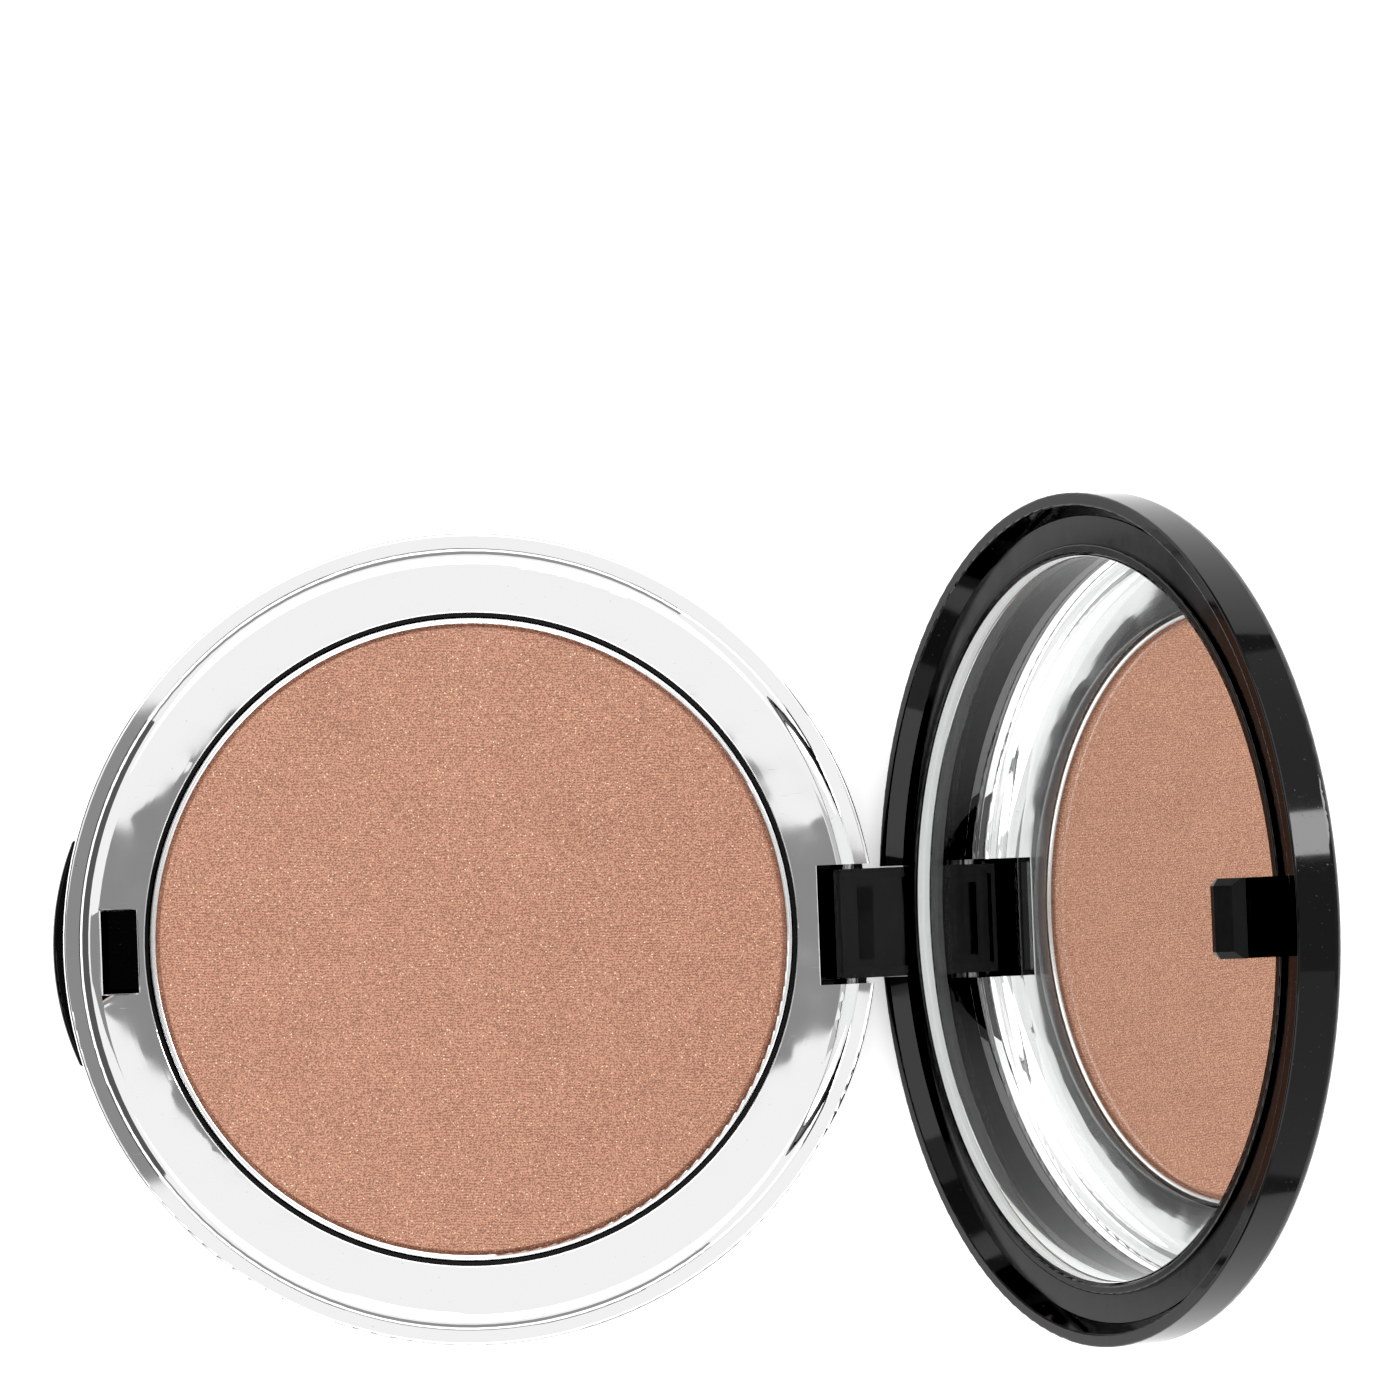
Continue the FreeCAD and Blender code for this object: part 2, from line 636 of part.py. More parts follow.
def make_lid_shell():
    body = new_body("lid_shell")
    crest = "rim_z + lid_thick + lid_dome"
    revolve(body, "shell", [
        ("0", crest),
        ("dome_flat", crest),
        ("base_radius", "rim_z + lid_thick"),
        ("base_radius", "rim_z"),
        ("rim_inner", "rim_z"),
        ("cover_bore", "frame_face"),
        ("cover_bore", "ceiling_z"),
        ("0", "ceiling_z"),
    ], arcs={1: "((base_radius - dome_flat)^2 + lid_dome^2) / (2 * lid_dome)"})
    round_edges(body, "back_edge", is_ring("base_radius", "rim_z + lid_thick"), "lid_round")
    rim = either(is_ring("base_radius", "rim_z"), is_ring("rim_inner", "rim_z"))
    round_edges(body, "rim_edges", rim, "rim_round")
    gate = new_sketch(body, "gate_plan", level="tongue_top + frame_gap")
    side = "tongue_width / 2 + 0.1"
    rectangle(gate, "hinge_x - tongue_half - 0.1", "beyond", f"-({side})", side)
    carve(body, "tongue_gate", gate, "beyond")
    return body


def make_lid_frame():
    body = new_body("lid_frame")
    revolve(body, "ring", [
        ("0", "frame_floor"),
        ("lip_inner", "frame_floor"),
        ("lip_inner", "lip_z"),
        ("lip_outer", "lip_z"),
        ("lip_outer + 0.1", "frame_face"),
        ("cover_bore - frame_gap", "frame_face"),
        ("cover_bore - frame_gap", "ceiling_z - frame_gap"),
        ("0", "ceiling_z - frame_gap"),
    ])
    lip = either(is_ring("lip_inner", "lip_z"), is_ring("lip_outer", "lip_z"))
    round_edges(body, "lip_edges", lip, "rim_round")
    add_tongue(body)
    add_hook(body)
    return body


def add_tongue(body):
    """The hinge tongue: a block with a barrel round the pin and a sunk panel on its inner face."""
    bottom = "hinge_z - tongue_half"
    inner = "hinge_x - tongue_half"
    block = outline(new_sketch(body, "tongue_section", "XZ"), [
        (inner, "tongue_top"),
        (inner, bottom + " + tongue_chamfer"),
        (inner + " + tongue_chamfer", bottom),
        ("hinge_x", bottom),
        ("hinge_x", "hinge_z"),
        ("hinge_x + tongue_half", "hinge_z"),
        ("hinge_x + tongue_half", "tongue_top"),
    ])
    grow(body, "tongue", block, "tongue_width", symmetric=True)
    barrel = circle(new_sketch(body, "barrel_section", "XZ"), "tongue_half", "hinge_x", "hinge_z")
    grow(body, "barrel", barrel, "tongue_width", symmetric=True)
    trim_outside(body, "tongue_back", "tongue_outer", "0", "-1")
    bore = circle(new_sketch(body, "bore_section", "XZ"), "pin_bore", "hinge_x", "hinge_z")
    carve(body, "pin_bore", bore, "tongue_width + 1", symmetric=True)
    panel = rectangle(new_sketch(body, "panel_section", "XZ"), inner + " - 1", inner + " + panel_depth",
                      bottom + " + 2 * tongue_chamfer", "lip_z - panel_depth")
    carve(body, "panel", panel, "panel_width", symmetric=True)
    wedge = outline(new_sketch(body, "wedge_section", "XZ"), [
        (inner + " + panel_depth - 0.1", "wedge_low"),
        (inner + " + panel_depth + wedge_depth", "wedge_low"),
        (inner + " + panel_depth - 0.1", "wedge_high"),
    ])
    carve(body, "wedge", wedge, "wedge_width", symmetric=True)


def add_hook(body):
    """The latch hook: a stem that stands out of the ring, with an outward tooth and a bevelled tip."""
    tip = "rim_z - hook_reach"
    section = outline(new_sketch(body, "hook_section", "XZ"), [
        ("-hook_inner", "frame_face + 0.5"),
        ("-hook_outer", "frame_face + 0.5"),
        ("-hook_outer", tip + " + tooth_height + tooth_slope"),
        ("-tooth_outer", tip + " + tooth_height"),
        ("-tooth_outer", tip + " + tooth_bevel"),
        ("-(hook_inner + hook_outer) / 2", tip),
        ("-hook_inner", tip),
    ])
    grow(body, "hook", section, "hook_width", symmetric=True)
    half = value("hook_width / 2")
    level = value(tip)

    def is_tip_corner(edge):
        middle = mid_point(edge)
        on_side = abs(abs(middle.y) - half) < 1e-3
        return on_side and middle.x < 0 and middle.z < level + value("tooth_bevel") - 0.1

    round_edges(body, "tip_corners", is_tip_corner, "hook_corner", "PartDesign::Chamfer")


def make_mirror():
    body = new_body("mirror_glass")
    revolve(body, "glass", [
        ("0", "mirror_front"),
        ("mirror_radius", "mirror_front"),
        ("mirror_radius", "mirror_front + mirror_thick"),
        ("0", "mirror_front + mirror_thick"),
    ])
    rims = either(is_ring("mirror_radius", "mirror_front"),
                  is_ring("mirror_radius", "mirror_front + mirror_thick"))
    round_edges(body, "arris", rims, "mirror_bevel", "PartDesign::Chamfer")
    return body


def open_lid(piece):
    """Turn a lid piece about the hinge pin, from closed to open."""
    angle = "dims.open_angle * 1 deg"
    across = f"dims.hinge_x * (1 - cos({angle})) - dims.hinge_z * sin({angle})"
    up = f"dims.hinge_z * (1 - cos({angle})) + dims.hinge_x * sin({angle})"
    piece.Placement = FreeCAD.Placement(FreeCAD.Vector(), FreeCAD.Rotation(FreeCAD.Vector(0, 1, 0), 90))
    piece.setExpression("Placement.Rotation.Angle", angle)
    piece.setExpression("Placement.Base.x", across)
    piece.setExpression("Placement.Base.z", up)


# Build and export ---------------------------------------------------------------------------------------


def check_document():
    for thing in doc.Objects:
        faults = [state for state in thing.State if state in ("Invalid", "Error")]
        if faults:
            raise RuntimeError(f"{thing.Label} is {faults}")


def export(pieces):
    os.makedirs(PARTS, exist_ok=True)
    for piece in pieces:
        if piece.Shape.isNull() or not piece.Shape.isValid():
            raise RuntimeError(f"{piece.Label} has a bad shape")
        piece.Shape.exportStep(f"{PARTS}/{piece.Label}.step")
        print(f"{piece.Label}: {len(piece.Shape.Solids)} solid, {piece.Shape.Volume:.1f} mm3")


fill_sheet()

base_pieces = [
    make_base_shell(),
    make_bezel(),
    make_pan_tray(),
    make_layer("pan_adhesive", "pad_radius", "tray_floor", "pad_thick"),
    make_pan(),
    make_powder(),
    make_hinge_pin(),
    make_layer("base_label", "label_radius", "0", "label_thick"),
    make_button(),
    make_springs(),
]
lid_pieces = [
    make_lid_shell(),
    make_lid_frame(),
    make_mirror(),
    make_layer("mirror_backing", "backing_radius", "mirror_front + mirror_thick", "backing_thick"),
    make_layer("mirror_adhesive", "tape_radius", "mirror_front + mirror_thick + backing_thick",
               "frame_floor - mirror_front - mirror_thick - backing_thick"),
]
for lid_piece in lid_pieces:
    open_lid(lid_piece)

doc.removeObject(workings.Name)
doc.recompute()
check_document()
export(base_pieces + lid_pieces)
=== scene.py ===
import math

import bmesh
import bpy
from mathutils import Euler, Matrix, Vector


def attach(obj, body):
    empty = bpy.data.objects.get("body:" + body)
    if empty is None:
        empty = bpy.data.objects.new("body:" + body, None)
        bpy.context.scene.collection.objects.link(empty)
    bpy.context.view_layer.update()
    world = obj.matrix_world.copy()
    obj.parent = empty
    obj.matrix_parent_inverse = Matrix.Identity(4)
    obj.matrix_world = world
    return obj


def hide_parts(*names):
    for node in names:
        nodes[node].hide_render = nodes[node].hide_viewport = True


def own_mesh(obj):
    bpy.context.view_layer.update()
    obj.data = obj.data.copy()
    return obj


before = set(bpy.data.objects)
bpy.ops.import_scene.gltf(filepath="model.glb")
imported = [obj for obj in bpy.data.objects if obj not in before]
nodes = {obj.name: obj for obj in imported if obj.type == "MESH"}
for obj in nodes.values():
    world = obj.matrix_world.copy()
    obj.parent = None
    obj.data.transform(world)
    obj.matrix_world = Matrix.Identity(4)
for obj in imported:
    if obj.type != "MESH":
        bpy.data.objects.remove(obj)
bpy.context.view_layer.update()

MM = 0.001
PER_MM = 1000.0

# Sizes and places in millimetres, the same as the CAD model's.
HINGE = Vector((35.3, 0.0, 5.3))
OPEN_ANGLE = math.radians(111.0)
MIRROR_RADIUS = 32.15
MIRROR_FRONT = 11.05
MIRROR_THICK = 1.7
MIRROR_BEVEL = 0.15
COAT_THICK = 0.1

# Choices of this script: lengths in millimetres, except for the stage's, which are in metres.
CLEAR = 0.02  # from the mirror's silver to the adhesive pad behind it
MIRROR_STEPS = 256
POLISHED, GROUND, SILVERED = 0, 1, 2  # the mirror's material slots
LABEL_RING, LABEL_RING_HALF = 26.6, 0.12
FLOOR_Z, FLOOR_HALF = -0.1 * MM, 3.0
BOOM_Z = 0.53
BOOM_OUTLINE = [
    (-0.5, -0.05), (-0.036, -0.05), (-0.033, -0.012), (0.0, -0.016), (0.027, -0.013), (0.058, -0.018),
    (0.5, -0.018), (0.5, 0.009), (0.058, 0.009), (0.027, 0.001), (0.0, 0.0045), (-0.033, 0.0095),
    (-0.036, 0.04), (-0.5, 0.04),
]
BLACK_LEVEL = 0.005


# Shader helpers -----------------------------------------------------------------------------------------


class Paint:
    """A material being built: short names for the nodes that the recipes below use."""

    def __init__(self, name, **settings):
        self.material = bpy.data.materials.new(name)
        self.material.use_nodes = True
        self.tree = self.material.node_tree
        self.shader = self.tree.nodes["Principled BSDF"]
        for socket, value in settings.items():
            self.shader.inputs[socket.replace("_", " ")].default_value = value
        self.place = self.tree.nodes.new("ShaderNodeTexCoord").outputs["Object"]

    def node(self, kind, **sockets):
        made = self.tree.nodes.new(kind)
        for name, value in sockets.items():
            self.feed(made.inputs[name.replace("_", " ")], value)
        return made

    def feed(self, socket, value):
        if isinstance(value, bpy.types.NodeSocket):
            self.tree.links.new(value, socket)
        else:
            socket.default_value = value

    def math(self, operation, first, second=0.0):
        made = self.tree.nodes.new("ShaderNodeMath")
        made.operation = operation
        self.feed(made.inputs[0], first)
        self.feed(made.inputs[1], second)
        return made.outputs[0]

    def noise(self, per_mm, detail=2.0, rough=0.5, place=None, stretch=None):
        """Noise in object space, with this many cells to the millimetre."""
        where = place or self.place
        if stretch:
            where = self.mapping(where, scale=stretch)
        made = self.node("ShaderNodeTexNoise", Vector=where, Scale=per_mm * PER_MM, Detail=detail,
                         Roughness=rough)
        return made.outputs["Fac"]

    def mapping(self, where, scale=(1, 1, 1), turn=(0, 0, 0)):
        made = self.node("ShaderNodeMapping", Vector=where)
        made.inputs["Scale"].default_value = scale
        made.inputs["Rotation"].default_value = turn
        return made.outputs[0]

    def spread(self, value, low, high, start=0.0, end=1.0):
        """Map low..high to start..end, clamped."""
        made = self.node("ShaderNodeMapRange", Value=value)
        made.inputs["From Min"].default_value = low
        made.inputs["From Max"].default_value = high
        made.inputs["To Min"].default_value = start
        made.inputs["To Max"].default_value = end
        return made.outputs[0]

    def blend(self, amount, first, second):
        made = self.tree.nodes.new("ShaderNodeMix")
        made.data_type = "RGBA"
        colours = [socket for socket in made.inputs if socket.type == "RGBA"]
        self.feed(made.inputs[0], amount)
        self.feed(colours[0], first)
        self.feed(colours[1], second)
        return next(socket for socket in made.outputs if socket.type == "RGBA")

    def bump(self, height, depth_mm, over=None):
        """Bump by a 0..1 height, this many millimetres deep."""
        made = self.node("ShaderNodeBump", Height=height, Distance=depth_mm * MM)
        made.inputs["Strength"].default_value = 1.0
        if over is not None:
            self.feed(made.inputs["Normal"], over)
        return made.outputs[0]

    def set(self, **sockets):
        for name, value in sockets.items():
            self.feed(self.shader.inputs[name.replace("_", " ")], value)


def grey(level):
    return (level, level, level, 1.0)


# Materials ----------------------------------------------------------------------------------------------


def scratches(paint, per_mm, turn, keep):
    """Fine straight hairlines in one direction: 1 on a hairline, 0 elsewhere."""
    streaks = paint.noise(per_mm, 1.0, 0.5, paint.mapping(paint.place, (0.04, 1.0, 1.0), (0, 0, turn)))
    return paint.spread(streaks, keep, keep + 0.03)


def black_gloss():
    """Polished black moulding with faint handling marks and dust."""
    paint = Paint("black_gloss_plastic", IOR=1.49, Specular_IOR_Level=0.27)
    cloud = paint.noise(0.25, 3.0)
    hairs = paint.math("MAXIMUM", scratches(paint, 6.0, 0.4, 0.73), scratches(paint, 5.0, -1.1, 0.74))
    dust = paint.spread(paint.noise(4.0, 0.0), 0.80, 0.86)
    polish = paint.spread(cloud, 0.3, 0.7, 0.035, 0.085)
    rough = paint.math("ADD", polish, paint.math("MULTIPLY", hairs, 0.08))
    rough = paint.math("ADD", rough, paint.math("MULTIPLY", dust, 0.3))
    colour = paint.blend(dust, grey(0.0025), grey(0.02))
    wave = paint.bump(paint.noise(0.12, 2.0), 0.006)
    paint.set(Base_Color=colour, Roughness=rough, Normal=paint.bump(hairs, -0.0006, wave))
    return paint.material


def black_satin():
    """The inner lid ring and tray: black, a little less polished, with flow marks."""
    paint = Paint("black_satin_plastic", IOR=1.49, Specular_IOR_Level=0.27)
    flow = paint.noise(0.5, 4.0, 0.6, stretch=(1.0, 0.4, 1.0))
    grain = paint.noise(9.0, 2.0)
    paint.set(Base_Color=paint.blend(flow, grey(0.002), grey(0.004)),
              Roughness=paint.spread(flow, 0.3, 0.7, 0.10, 0.2), Normal=paint.bump(grain, 0.0012))
    return paint.material


def chrome():
    """Bright plating on a moulded ring: mirror-like and gently uneven, with faint rubbed hairlines."""
    paint = Paint("chrome_plating", Metallic=1.0)
    slow = paint.noise(0.06, 1.0, 0.4)
    middle = paint.noise(0.3, 0.0)
    hairs = paint.math("MAXIMUM", scratches(paint, 7.0, 0.2, 0.76), scratches(paint, 6.0, 1.7, 0.77))
    specks = paint.spread(paint.noise(3.5, 0.0), 0.84, 0.88)
    normal = paint.bump(slow, 0.07)
    normal = paint.bump(middle, 0.005, normal)
    polish = paint.spread(middle, 0.3, 0.7, 0.015, 0.04)
    rough = paint.math("ADD", polish, paint.math("MULTIPLY", hairs, 0.04))
    paint.set(Base_Color=paint.blend(specks, grey(0.93), grey(0.72)), Roughness=rough, Normal=normal)
    return paint.material


def pan_metal():
    """Rolled rim of a drawn aluminium pan, with lathe lines round it."""
    paint = Paint("pan_aluminium", Metallic=1.0)
    radius = paint.node("ShaderNodeVectorMath", Vector=paint.mapping(paint.place, (1, 1, 0)))
    radius.operation = "LENGTH"
    along = paint.node("ShaderNodeCombineXYZ", X=radius.outputs["Value"])
    lines = paint.noise(14.0, 2.0, place=along.outputs[0])
    spots = paint.noise(1.5, 3.0)
    paint.set(Base_Color=paint.blend(spots, grey(0.88), grey(0.95)),
              Roughness=paint.spread(lines, 0.3, 0.7, 0.14, 0.26), Normal=paint.bump(lines, 0.001))
    return paint.material


def powder():
    """Pressed powder: a plain-weave imprint from the pressing cloth, grain, mottling and pearl flakes."""
    paint = Paint("pressed_powder_face", Roughness=0.62, IOR=1.45)
    warp_pitch, weft_pitch, cloth_turn = 0.318, 0.25, math.radians(2.4)
    sway = paint.noise(0.6, 2.0)
    turned = paint.mapping(paint.place, (PER_MM, PER_MM, 0.0), (0, 0, cloth_turn))
    axes = paint.node("ShaderNodeSeparateXYZ", Vector=turned)
    drift = paint.math("MULTIPLY", paint.math("SUBTRACT", sway, 0.5), 0.5)

    def threads(along, pitch):
        swayed = paint.math("ADD", along, drift)
        return paint.math("SINE", paint.math("MULTIPLY", swayed, 2 * math.pi / pitch))

    rows, columns = threads(axes.outputs["Y"], weft_pitch), threads(axes.outputs["X"], warp_pitch)
    weave = paint.math("MULTIPLY", rows, paint.math("ADD", 0.6, paint.math("MULTIPLY", columns, 0.4)))
    fade = paint.spread(paint.noise(0.35, 3.0, 0.6), 0.35, 0.65, 0.25, 1.0)
    weave = paint.math("MULTIPLY", weave, fade)
    grain = paint.noise(6.5, 3.0, 0.65)
    mottle = paint.noise(0.16, 4.0, 0.6)
    height = paint.math("ADD", paint.spread(weave, -1.0, 1.0, 0.0, 0.55), paint.math("MULTIPLY", grain, 0.9))
    flakes = paint.node("ShaderNodeTexVoronoi", Vector=paint.place, Scale=4600.0)
    flakes.inputs["Randomness"].default_value = 1.0
    pick = paint.node("ShaderNodeSeparateColor", Color=flakes.outputs["Color"])
    near = paint.spread(flakes.outputs["Distance"], 0.20, 0.36, 1.0, 0.0)
    flake = paint.math("MULTIPLY", near, paint.spread(pick.outputs[0], 0.84, 0.95))
    # The weave term lightens the cloth imprint's ridges and darkens its grooves, which is painted shade of
    # the imprint; grain and mottle are the powder's own uneven tone.
    tone = paint.math("ADD", paint.spread(grain, 0.25, 0.75, -1.2, 1.2), paint.math("MULTIPLY", weave, 0.5))
    tone = paint.math("ADD", tone, paint.spread(mottle, 0.3, 0.7, 0.44, 0.56))
    colour = paint.blend(tone, (0.22, 0.095, 0.058, 1), (0.566, 0.283, 0.185, 1))
    colour = paint.blend(paint.math("MULTIPLY", flake, 0.85), colour, (1.0, 0.80, 0.55, 1))
    paint.set(Base_Color=colour, Metallic=paint.math("MULTIPLY", flake, 0.5),
              Roughness=paint.math("SUBTRACT", 0.66, paint.math("MULTIPLY", flake, 0.3)),
              Normal=paint.bump(height, 0.035))
    return paint.material


def steel():
    paint = Paint("spring_and_pin_steel", Metallic=1.0)
    drawn = paint.noise(6.0, 2.0, stretch=(1.0, 0.08, 1.0))
    paint.set(Base_Color=paint.blend(drawn, grey(0.5), grey(0.62)),
              Roughness=paint.spread(drawn, 0.3, 0.7, 0.2, 0.36), Normal=paint.bump(drawn, 0.001))
    return paint.material


def foam():
    paint = Paint("adhesive_foam", Roughness=0.9)
    cells = paint.node("ShaderNodeTexVoronoi", Vector=paint.place, Scale=6000.0).outputs["Distance"]
    paint.set(Base_Color=paint.blend(cells, grey(0.8), grey(0.6)), Normal=paint.bump(cells, 0.02))
    return paint.material


def label_film():
    """Blank satin film with a thin border line and a faint paper tooth."""
    paint = Paint("label_film", Roughness=0.4)
    radius = paint.node("ShaderNodeVectorMath", Vector=paint.mapping(paint.place, (PER_MM, PER_MM, 0.0)))
    radius.operation = "LENGTH"
    ring = paint.math("COMPARE", radius.outputs["Value"], LABEL_RING)
    ring.node.inputs[2].default_value = LABEL_RING_HALF
    tooth = paint.noise(8.0, 3.0)
    field = paint.blend(tooth, (0.72, 0.72, 0.70, 1), (0.80, 0.80, 0.78, 1))
    paint.set(Base_Color=paint.blend(ring, field, grey(0.3)), Normal=paint.bump(tooth, 0.002))
    return paint.material


def mirror_glass():
    """Clear polished glass with a barely visible greenish cloudiness."""
    paint = Paint("mirror_glass_clear", Roughness=0.0, IOR=1.5, Transmission_Weight=1.0)
    smear = paint.noise(0.12, 3.0, 0.6, stretch=(1.0, 0.3, 1.0))
    paint.set(Base_Color=paint.blend(smear, (0.985, 1.0, 0.992, 1), (0.975, 0.992, 0.984, 1)))
    return paint.material


def ground_edge():
    """The glass's ground edge: frosted, with grinding lines, and a painted glow that stands in for light
    carried inside the glass.
    """
    # The emission is painted light: the edge glows in place of the light that reaches it through the glass.
    paint = Paint("mirror_ground_edge", Base_Color=(0.95, 0.965, 0.96, 1), Emission_Color=grey(1.0),
                  Emission_Strength=0.2)
    lines = paint.noise(7.0, 2.0)
    paint.set(Roughness=paint.spread(lines, 0.3, 0.7, 0.35, 0.6), Normal=paint.bump(lines, 0.006))
    return paint.material


def silver():
    """The silver behind the glass, seen through it."""
    paint = Paint("mirror_silver", Metallic=1.0, Roughness=0.0)
    haze = paint.noise(0.05, 2.0)
    paint.set(Base_Color=paint.blend(haze, (0.955, 0.965, 0.96, 1), (0.975, 0.98, 0.975, 1)))
    return paint.material


def dress(node_name, material):
    """Give a CAD node one material all over."""
    slots = nodes[node_name].data.materials
    slots.clear()
    slots.append(material)


# Mirror -------------------------------------------------------------------------------------------------


def lid_point(radius, angle, level):
    """A point of the lid, given closed as radius, angle and height in millimetres, turned open, in metres."""
    closed = Vector((radius * math.cos(angle), radius * math.sin(angle), level)) - HINGE
    across = closed.x * math.cos(OPEN_ANGLE) + closed.z * math.sin(OPEN_ANGLE)
    up = -closed.x * math.sin(OPEN_ANGLE) + closed.z * math.cos(OPEN_ANGLE)
    return (HINGE + Vector((across, closed.y, up))) * MM


def build_mirror():
    """One slab: polished front and arris, ground edge and silvered back, seen through the glass."""
    back = MIRROR_FRONT + MIRROR_THICK + COAT_THICK - CLEAR
    rings = [
        (MIRROR_RADIUS - MIRROR_BEVEL, MIRROR_FRONT),
        (MIRROR_RADIUS, MIRROR_FRONT + MIRROR_BEVEL),
        (MIRROR_RADIUS, back - MIRROR_BEVEL),
        (MIRROR_RADIUS - MIRROR_BEVEL, back),
    ]
    mesh = bpy.data.meshes.new("mirror_slab")
    piece = bpy.data.objects.new("mirror_slab", mesh)
    bpy.context.collection.objects.link(piece)
    work = bmesh.new()
    turns = [2 * math.pi * k / MIRROR_STEPS for k in range(MIRROR_STEPS)]
    loops = [[work.verts.new(lid_point(r, turn, z)) for turn in turns] for r, z in rings]
    front = work.faces.new(loops[0][::-1])
    front.material_index = POLISHED
    for surface, low, high in zip((POLISHED, GROUND, GROUND), loops, loops[1:]):
        for k in range(MIRROR_STEPS):
            follow = (k + 1) % MIRROR_STEPS
            side = work.faces.new((low[k], low[follow], high[follow], high[k]))
            side.material_index = surface
            side.smooth = True
    rear = work.faces.new(loops[-1])
    rear.material_index = SILVERED
    work.normal_update()
    work.to_mesh(mesh)
    work.free()
    for material in (mirror_glass(), ground_edge(), silver()):
        mesh.materials.append(material)
    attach(piece, "lid")
    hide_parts("mirror_glass", "mirror_backing")


# Springs ------------------------------------------------------------------------------------------------


def build_springs(material):
    """A copy of the leaf springs in the given finish, with a mesh of its own, carried by the base in place of
    the CAD node.
    """
    mesh = nodes["button_springs"].data.copy()
    mesh.materials.clear()
    mesh.materials.append(material)
    piece = bpy.data.objects.new("leaf_springs", mesh)
    bpy.context.collection.objects.link(piece)
    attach(piece, "base")
    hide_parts("button_springs")
    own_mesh(piece)


# Stage --------------------------------------------------------------------------------------------------


def build_floor():
    """A wide pale light table: matt white, glowing a little."""
    mesh = bpy.data.meshes.new("studio_floor")
    floor = bpy.data.objects.new("studio_floor", mesh)
    bpy.context.collection.objects.link(floor)
    corners = [(-FLOOR_HALF, -FLOOR_HALF), (FLOOR_HALF, -FLOOR_HALF), (FLOOR_HALF, FLOOR_HALF),
               (-FLOOR_HALF, FLOOR_HALF)]
    work = bmesh.new()
    work.faces.new([work.verts.new((x, y, FLOOR_Z)) for x, y in corners])
    work.to_mesh(mesh)
    work.free()
    paint = Paint("studio_floor_paint", Roughness=0.7, Emission_Color=grey(1.0), Emission_Strength=0.4)
    paint.set(Base_Color=paint.blend(paint.noise(0.01, 2.0), grey(0.90), grey(0.92)))
    mesh.materials.append(paint.material)


def soft_box(name, place, aim, width, height, power):
    """A large rectangular soft light that the camera doesn't see."""
    data = bpy.data.lights.new(name, "AREA")
    data.shape = "RECTANGLE"
    data.size = width
    data.size_y = height
    data.energy = power
    lamp = bpy.data.objects.new(name, data)
    bpy.context.collection.objects.link(lamp)
    lamp.location = place
    lamp.rotation_euler = (Vector(aim) - Vector(place)).to_track_quat("-Z", "Y").to_euler()
    lamp.visible_camera = False


def grey_card(name, corners, level):
    """A card of a given brightness that only reflections see."""
    mesh = bpy.data.meshes.new(name)
    card = bpy.data.objects.new(name, mesh)
    bpy.context.collection.objects.link(card)
    work = bmesh.new()
    work.faces.new([work.verts.new(corner) for corner in corners])
    work.to_mesh(mesh)
    work.free()
    material = bpy.data.materials.new(name + "_paint")
    material.use_nodes = True
    tree = material.node_tree
    tree.nodes.clear()
    glow = tree.nodes.new("ShaderNodeEmission")
    glow.inputs["Color"].default_value = grey(level)
    tree.links.new(glow.outputs[0], tree.nodes.new("ShaderNodeOutputMaterial").inputs["Surface"])
    mesh.materials.append(material)
    card.visible_camera = False
    card.visible_diffuse = False
    card.visible_shadow = False
    card.visible_transmission = False


def side_card(name, foot, top, span, level):
    """A card that crosses X: foot and top are the x and z of its edges, and span is its reach along Y."""
    (foot_x, foot_z), (top_x, top_z), (start, end) = foot, top, span
    corners = [(foot_x, start, foot_z), (foot_x, end, foot_z), (top_x, end, top_z), (top_x, start, top_z)]
    grey_card(name, corners, level)


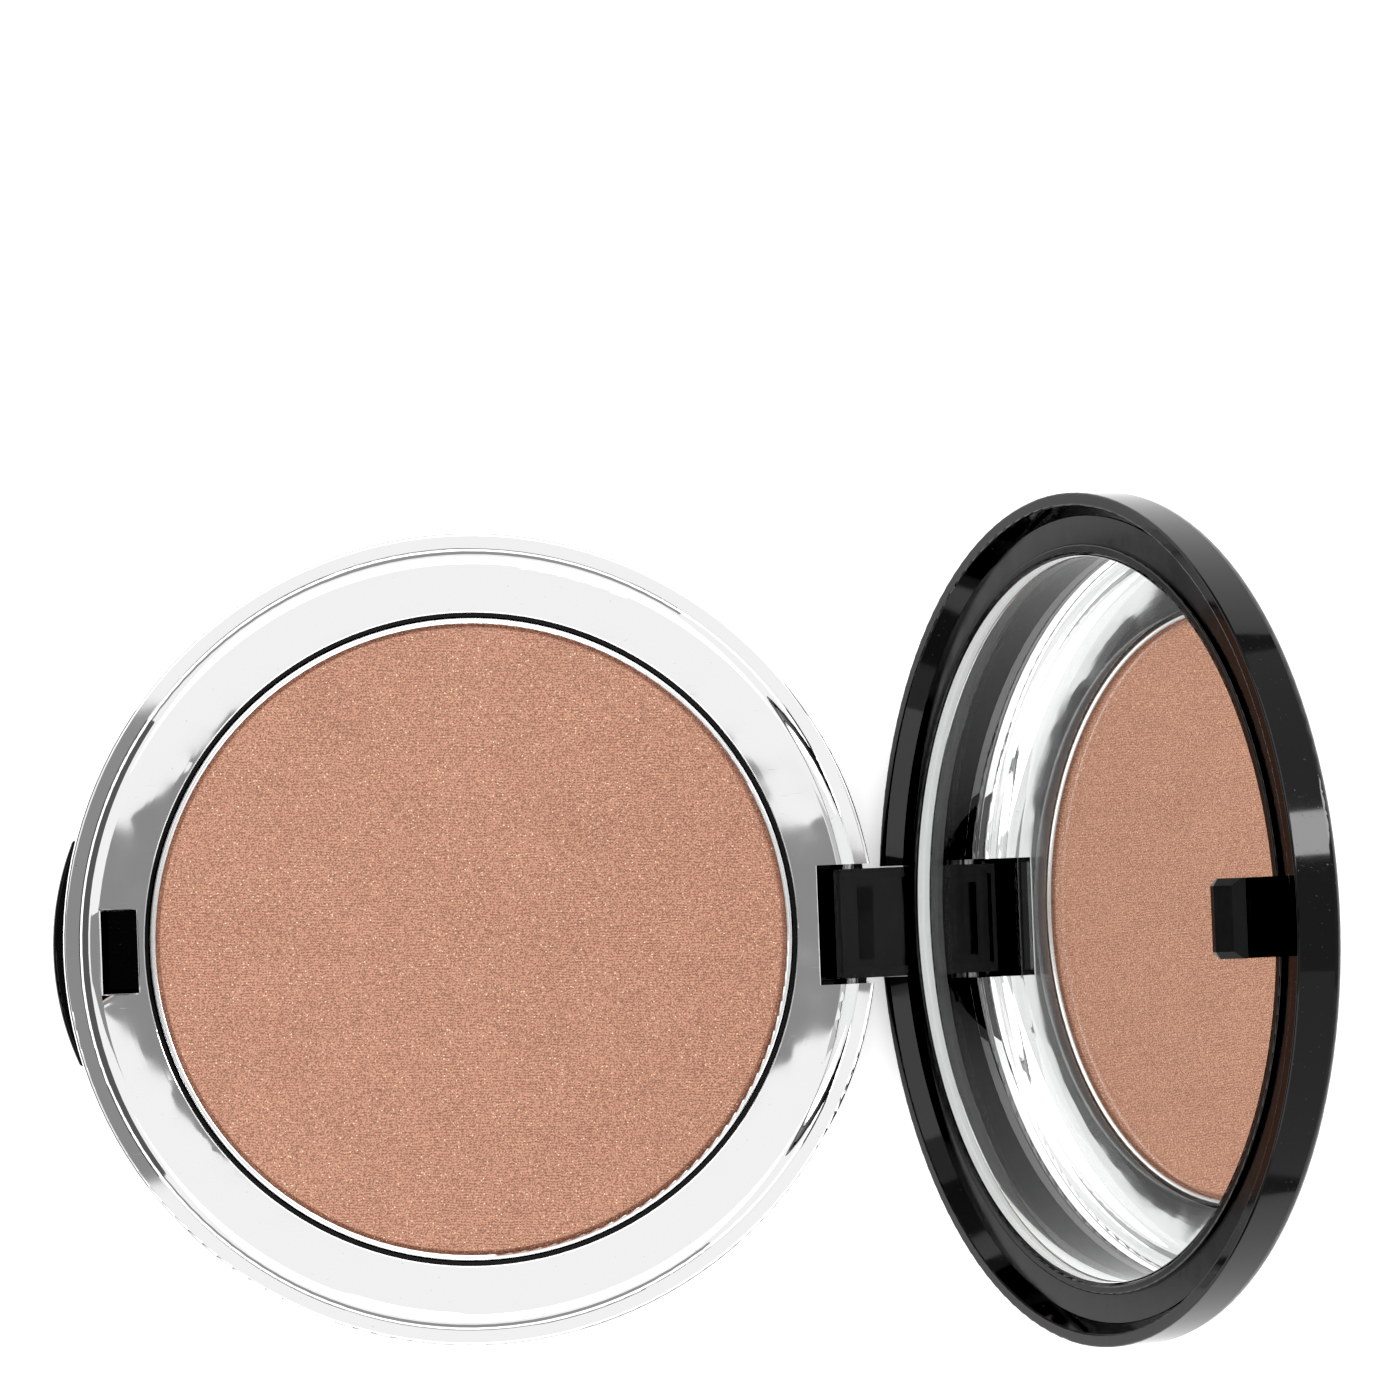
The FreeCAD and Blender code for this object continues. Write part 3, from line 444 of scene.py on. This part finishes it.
def build_cards():
    """The dark rig and bright strip that the chrome and the black lid reflect in the photograph."""
    grey_card("camera_boom", [(x, y, BOOM_Z) for x, y in BOOM_OUTLINE], 0.27)
    side_card("left_flag", foot=(-0.8, 0.02), top=(-0.8, 0.635), span=(-0.6, 0.6), level=0.1)
    start, end, foot, top = -1.07, 0.6, 0.02, 0.3
    for name, y in (("far_flag", 0.8), ("near_flag", -0.8)):
        grey_card(name, [(start, y, foot), (end, y, foot), (end, y, top), (start, y, top)], 0.3)
    side_card("right_flag", foot=(0.45, 0.05), top=(0.25, 0.95), span=(-0.1, 0.085), level=0.55)
    side_card("right_strip", foot=(0.36, 0.1), top=(0.31, 0.45), span=(0.08, 0.145), level=14.0)


def build_lights():
    """Two large soft boxes above the table, on its far and near sides."""
    for name, y in (("soft_box_far", 0.6), ("soft_box_near", -0.6)):
        soft_box(name, place=(0.0, y, 0.8), aim=(0.0, 0.0, 0.0), width=1.2, height=0.7, power=4.0)


def build_world(level):
    world = bpy.data.worlds.new("studio")
    bpy.context.scene.world = world
    world.use_nodes = True
    world.node_tree.nodes["Background"].inputs["Color"].default_value = grey(1.0)
    world.node_tree.nodes["Background"].inputs["Strength"].default_value = level


def build_camera():
    data = bpy.data.cameras.new("view")
    data.lens = 139.42
    data.sensor_width = 36.0
    data.clip_start = 0.01
    camera = bpy.data.objects.new("view", data)
    bpy.context.collection.objects.link(camera)
    camera.location = (-0.01574, 0.0065, 0.51113)
    camera.rotation_euler = Euler((math.radians(1.845), math.radians(-4.227), math.radians(-2.17)))
    bpy.context.scene.camera = camera


# Build --------------------------------------------------------------------------------------------------

gloss, satin, steel_finish, foam_finish = black_gloss(), black_satin(), steel(), foam()
for name in ("base_shell", "push_button", "lid_shell"):
    dress(name, gloss)
for name in ("lid_frame", "pan_tray"):
    dress(name, satin)
dress("hinge_pin", steel_finish)
for name in ("pan_adhesive", "mirror_adhesive"):
    dress(name, foam_finish)
dress("bezel", chrome())
dress("powder_pan", pan_metal())
dress("powder_cake", powder())
dress("base_label", label_film())
build_mirror()
build_springs(steel_finish)

build_floor()
build_world(0.95)
build_lights()
build_cards()
build_camera()

view = bpy.context.scene.view_settings
view.view_transform = "Standard"
view.use_curve_mapping = True
view.curve_mapping.black_level = (BLACK_LEVEL, BLACK_LEVEL, BLACK_LEVEL)
view.curve_mapping.update()
